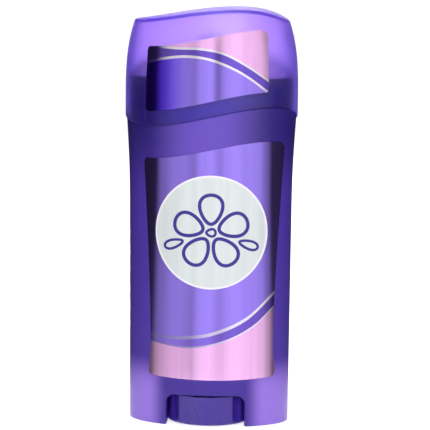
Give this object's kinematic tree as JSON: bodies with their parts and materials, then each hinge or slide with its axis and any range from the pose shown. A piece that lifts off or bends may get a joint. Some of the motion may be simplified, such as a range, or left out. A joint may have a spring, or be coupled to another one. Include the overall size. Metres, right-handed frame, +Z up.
{
  "type": "deodorant stick",
  "caption": "Oval twist-up deodorant stick with a wavy-rimmed overcap, a grip wheel in its foot, a threaded lift for the solid stick and a lift-off inner seal.",
  "frame": {"origin": "middle of the foot, on the surface the stick stands on", "axes": "+Z up through the cap, +X across the wide way to the right as the printed side is read, -Y out of the printed side"},
  "size_m": [0.0602, 0.0356, 0.1452],
  "materials": {
    "barrel": "glossy, slightly see-through violet polypropylene",
    "front_label": "glossy metallised film, violet over pink",
    "wheel_and_spindle": "glossy violet polypropylene",
    "carrier": "satin white polypropylene",
    "stick": "soft waxy solid",
    "seal": "satin white polyethylene",
    "cap": "glossy, see-through violet polypropylene",
    "cap_label": "glossy metallised film, violet and pink"
  },
  "bodies": {
    "barrel": {"barrel": "barrel", "front_label": "front_label"},
    "wheel": {"wheel_and_spindle": "wheel_and_spindle"},
    "carrier": {"carrier": "carrier", "stick": "stick"},
    "seal": {"seal": "seal"},
    "cap": {"cap": "cap", "cap_label": "cap_label"}
  },
  "joints": [
    {"name": "wheel_turn", "type": "hinge", "parent": "barrel", "child": "wheel", "pos_m": [0, 0, 0], "axis": [0, 0, 1], "range_deg": [0, 4141]},
    {"name": "carrier_rise", "type": "slide", "parent": "barrel", "child": "carrier", "axis": [0, 0, 1], "range_m": [0, 0.046]},
    {"name": "seal_lift", "type": "slide", "parent": "carrier", "child": "seal", "axis": [0, 0, 1], "range_m": [0, 0.04]},
    {"name": "cap_lift", "type": "slide", "parent": "seal", "child": "cap", "axis": [0, 0, 1], "range_m": [0, 0.06]}
  ],
  "couplings": [
    {"joint": "wheel_turn", "follows": "carrier_rise", "rad_per_m": 1570.8}
  ]
}
